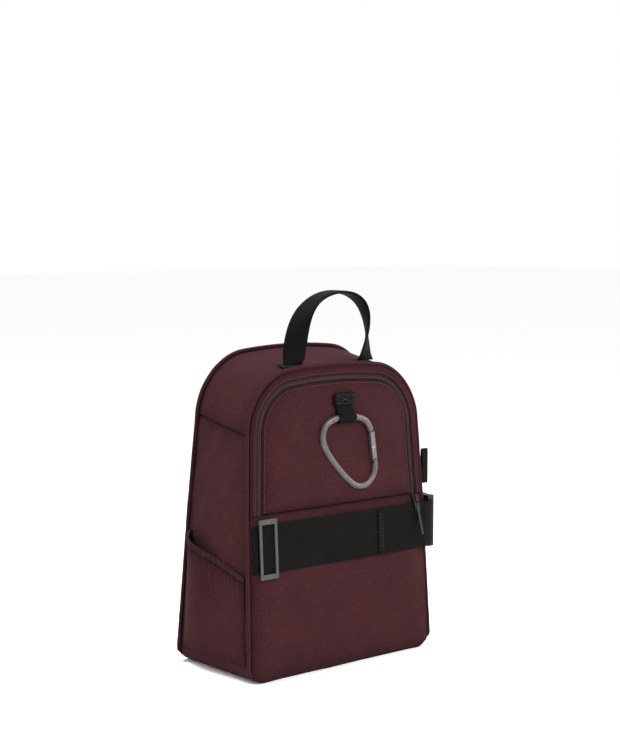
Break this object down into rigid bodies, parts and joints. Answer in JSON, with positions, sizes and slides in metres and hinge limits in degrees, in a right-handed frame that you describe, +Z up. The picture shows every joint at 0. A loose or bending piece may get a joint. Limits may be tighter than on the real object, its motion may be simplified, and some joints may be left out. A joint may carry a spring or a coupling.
{
  "type": "travel backpack",
  "caption": "Small upright fabric backpack with a zipped front flap, front band with slider and side buckle, carabiner on a tab, top handle, side slip pockets and shoulder straps.",
  "frame": {"origin": "middle of the underside of the base panel, on the surface the bag stands on", "axes": "+Z up, front face towards -Y, the wearer's back towards +Y, +X to the right seen from the front"},
  "size_m": [0.2954, 0.1651, 0.4136],
  "materials": {
    "shell_cloth": "woven, matt",
    "trim_cloth": "woven, matt",
    "spacer_mesh": "open knit, matt",
    "board": "plain sheet",
    "lining": "thin woven",
    "zip_tape": "woven tape with coil teeth",
    "webbing": "woven webbing",
    "dark_metal": "satin grey",
    "buckle_plastic": "moulded, satin"
  },
  "bodies": {
    "bag": {"back_panel": "shell_cloth", "base_panel": "shell_cloth", "front_panel_lower": "shell_cloth", "front_rim": "shell_cloth", "piping_back": "shell_cloth", "piping_front": "shell_cloth", "side_panel_left": "shell_cloth", "side_panel_right": "shell_cloth", "side_pocket_left": "shell_cloth", "side_pocket_right": "shell_cloth", "top_panel": "shell_cloth", "pocket_hem_left": "trim_cloth", "pocket_hem_right": "trim_cloth", "back_pad": "spacer_mesh", "base_board": "board", "frame_sheet": "board", "document_sleeve": "lining", "zip_half_shell": "zip_tape", "band_anchor_left": "webbing", "band_anchor_right": "webbing", "handle_patch_left": "webbing", "handle_patch_right": "webbing", "side_loop": "webbing", "strap_anchor_left": "webbing", "strap_anchor_right": "webbing", "strap_webbing_left": "webbing", "strap_webbing_right": "webbing", "buckle_socket": "buckle_plastic"},
    "flap": {"front_flap": "shell_cloth", "zip_half_flap": "zip_tape", "tab_patch": "webbing", "carabiner_tab": "webbing"},
    "carabiner": {"carabiner_body": "dark_metal", "gate_pin": "dark_metal"},
    "gate": {"carabiner_gate": "dark_metal"},
    "zip_runner": {"zip_slider": "dark_metal"},
    "zip_pull": {"pull_ring": "dark_metal", "pull_tail": "webbing"},
    "handle": {"top_handle": "webbing"},
    "band": {"front_band": "webbing", "buckle_base": "buckle_plastic"},
    "tri_glide": {"band_slider": "dark_metal"},
    "prong_lower": {"buckle_prong_lower": "buckle_plastic"},
    "prong_upper": {"buckle_prong_upper": "buckle_plastic"},
    "strap_left": {"shoulder_strap_left": "spacer_mesh", "ladder_lock_left": "buckle_plastic", "strap_tail_left": "webbing"},
    "strap_right": {"shoulder_strap_right": "spacer_mesh", "ladder_lock_right": "buckle_plastic", "strap_tail_right": "webbing"}
  },
  "joints": [
    {"name": "flap_fold", "type": "hinge", "parent": "bag", "child": "flap", "pos_m": [0, -0.05744, 0.178], "axis": [1, 0, 0], "range_deg": [0, 95]},
    {"name": "carabiner_swing", "type": "hinge", "parent": "flap", "child": "carabiner", "pos_m": [0.008, -0.05929, 0.27398], "axis": [-1, 0, 0], "range_deg": [0, 115]},
    {"name": "gate_pivot", "type": "hinge", "parent": "carabiner", "child": "gate", "pos_m": [0.049, -0.06047, 0.22397], "axis": [0, -0.9986, 0.0536], "range_deg": [0, 24], "stiffness_Nm_per_rad": 0.02, "springref_deg": -11.46},
    {"name": "zip_run", "type": "slide", "parent": "bag", "child": "zip_runner", "axis": [-0.0534, 0.0536, 0.9971], "range_m": [0, 0.08]},
    {"name": "pull_pivot", "type": "hinge", "parent": "zip_runner", "child": "zip_pull", "pos_m": [0.11234, -0.06189, 0.17343], "axis": [-0.9986, -0.0029, -0.0533], "range_deg": [0, 150]},
    {"name": "handle_fold", "type": "hinge", "parent": "bag", "child": "handle", "pos_m": [0, -0.04114, 0.33397], "axis": [1, 0, 0], "range_deg": [-60, 40]},
    {"name": "band_release", "type": "hinge", "parent": "bag", "child": "band", "pos_m": [-0.117, -0.06217, 0.14215], "axis": [0, -0.0536, -0.9986], "range_deg": [0, 95]},
    {"name": "tri_glide_run", "type": "slide", "parent": "band", "child": "tri_glide", "axis": [1, 0, 0], "range_m": [0, 0.06]},
    {"name": "prong_lower_squeeze", "type": "hinge", "parent": "band", "child": "prong_lower", "pos_m": [0.1445, -0.03787, 0.125], "axis": [1, 0, 0], "range_deg": [0, 5], "stiffness_Nm_per_rad": 0.1},
    {"name": "prong_upper_squeeze", "type": "hinge", "parent": "band", "child": "prong_upper", "pos_m": [0.1445, -0.03787, 0.159], "axis": [-1, 0, 0], "range_deg": [0, 5], "stiffness_Nm_per_rad": 0.1},
    {"name": "strap_left_lift", "type": "hinge", "parent": "bag", "child": "strap_left", "pos_m": [-0.038, 0.04288, 0.30509], "axis": [1, 0, 0], "range_deg": [0, 15]},
    {"name": "strap_right_lift", "type": "hinge", "parent": "bag", "child": "strap_right", "pos_m": [0.038, 0.04288, 0.30509], "axis": [1, 0, 0], "range_deg": [0, 15]}
  ]
}
